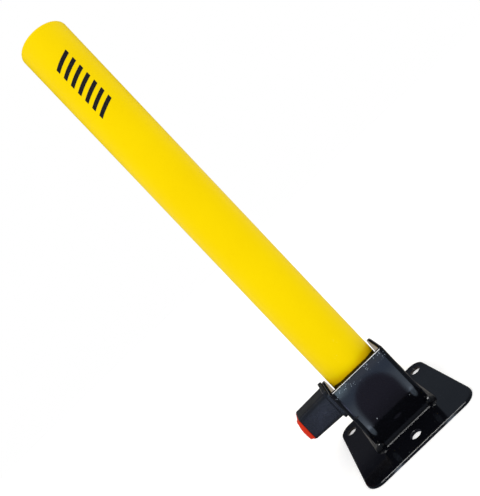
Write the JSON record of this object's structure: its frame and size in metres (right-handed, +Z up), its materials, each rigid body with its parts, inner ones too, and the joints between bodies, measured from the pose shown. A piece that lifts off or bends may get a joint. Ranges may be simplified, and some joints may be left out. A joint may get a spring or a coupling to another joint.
{
  "type": "fold-down parking bollard",
  "caption": "Round steel post on a pivot in a U bracket and base plate; a side-mounted plunger lock under a pull-off dust cap holds it upright, and it folds flat to the rear.",
  "frame": {"origin": "on the raised post's axis, at the underside of the base plate", "axes": "+Z up along the raised post, +Y to the rear, the way the post folds, +X to the side away from the lock"},
  "size_m": [0.1544, 0.1359, 0.5552],
  "materials": {
    "yellow_powder_coat": "semi-gloss yellow powder coat on steel tube",
    "black_powder_coat": "glossy black powder coat on steel plate",
    "zinc_plated_steel": "bright zinc plate",
    "machined_steel": "turned, lightly oiled",
    "spring_steel": "drawn wire",
    "lock_brass": "turned",
    "plug_brass": "turned, brushed face",
    "wafer_brass": "stamped",
    "charcoal_plastic": "satin moulded, glass-filled",
    "natural_nylon": "turned",
    "black_rubber": "matt",
    "red_rubber": "smooth moulded"
  },
  "bodies": {
    "base": {"base_plate": "black_powder_coat", "pivot_bracket": "black_powder_coat", "foot_weld": "black_powder_coat", "pivot_pin": "zinc_plated_steel", "pivot_washers": "natural_nylon", "stop_pad": "black_rubber", "lock_housing": "charcoal_plastic", "housing_gasket": "black_rubber", "housing_screws": "zinc_plated_steel", "barrel_guide_screw": "zinc_plated_steel", "bolt_guide_bush": "machined_steel", "return_spring": "spring_steel"},
    "post": {"post_tube": "yellow_powder_coat", "post_cap": "yellow_powder_coat", "pivot_sleeve": "yellow_powder_coat", "bolt_striker": "machined_steel"},
    "lock_plunger": {"lock_barrel": "lock_brass", "barrel_o_ring": "black_rubber"},
    "key_cylinder": {"key_plug": "plug_brass", "plug_circlip": "spring_steel", "locking_bolt": "machined_steel", "bayonet_pin": "machined_steel"},
    "tumblers": {"wafer_tumblers": "wafer_brass"},
    "dust_cap": {"dust_cap": "red_rubber"}
  },
  "joints": [
    {"name": "post_fold", "type": "hinge", "parent": "base", "child": "post", "pos_m": [0, 0, 0.035], "axis": [-1, 0, 0], "range_deg": [0, 90]},
    {"name": "plunger_slide", "type": "slide", "parent": "base", "child": "lock_plunger", "axis": [1, 0, 0], "range_m": [0, 0.009], "deforming": ["return_spring"]},
    {"name": "key_turn", "type": "hinge", "parent": "lock_plunger", "child": "key_cylinder", "pos_m": [-0.07, 0, 0.0565], "axis": [-1, 0, 0], "range_deg": [0, 90]},
    {"name": "tumbler_lift", "type": "slide", "parent": "key_cylinder", "child": "tumblers", "axis": [0, 0, 1], "range_m": [0, 0.0009]},
    {"name": "dust_cap_pull", "type": "slide", "parent": "base", "child": "dust_cap", "axis": [-1, 0, 0], "range_m": [0, 0.015]}
  ]
}
